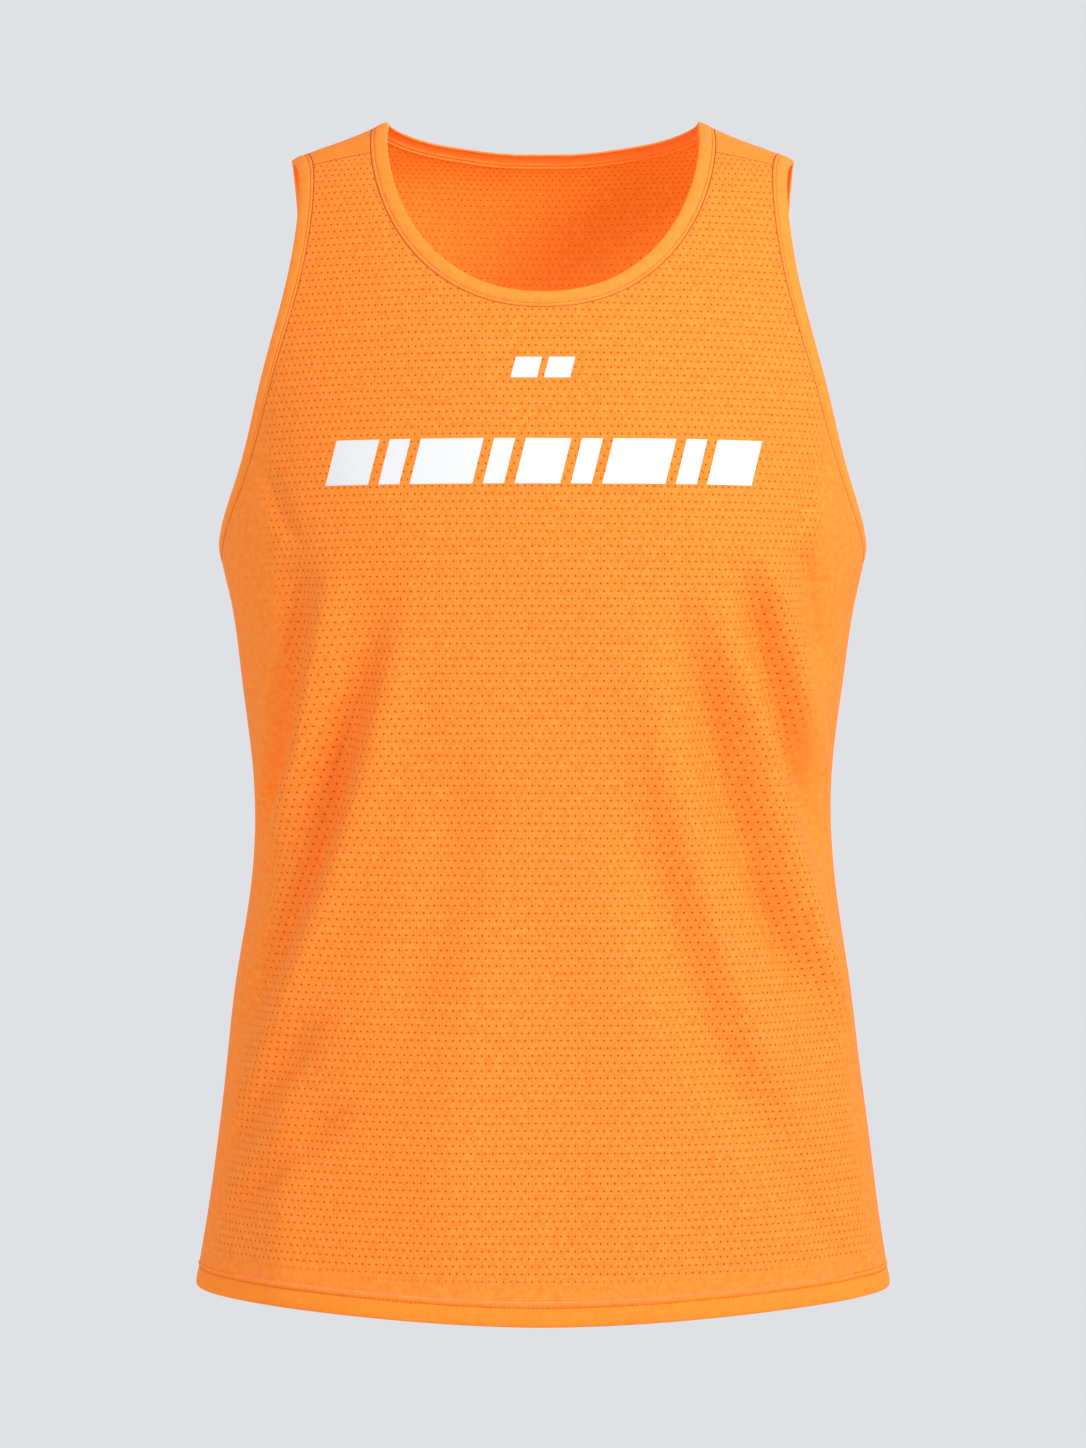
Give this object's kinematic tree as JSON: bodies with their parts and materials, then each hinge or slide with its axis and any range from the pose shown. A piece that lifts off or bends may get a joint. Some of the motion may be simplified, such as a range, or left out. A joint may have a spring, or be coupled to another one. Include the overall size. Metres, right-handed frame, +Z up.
{
  "type": "running singlet",
  "caption": "Sleeveless round-necked running singlet of perforated knit, filled out as worn, open at the neck, armholes and hem.",
  "frame": {"origin": "midway between the two shoulders, at the height where they carry the straps", "axes": "+Z up towards the neck, -Y towards the front of the garment, +X towards the viewer's right when the front is seen"},
  "size_m": [0.4164, 0.2399, 0.7075],
  "materials": {
    "perforated_jersey": "matt knitted mesh with small holes",
    "plain_jersey": "matt smooth knit",
    "band_jersey": "matt smooth knit, folded double"
  },
  "bodies": {
    "root": {"front_panel": "perforated_jersey", "back_panel": "perforated_jersey", "shoulder_panel_left": "plain_jersey", "shoulder_panel_right": "plain_jersey", "neckband": "band_jersey", "armhole_band_left": "band_jersey", "armhole_band_right": "band_jersey", "hem_band": "band_jersey"}
  },
  "joints": []
}
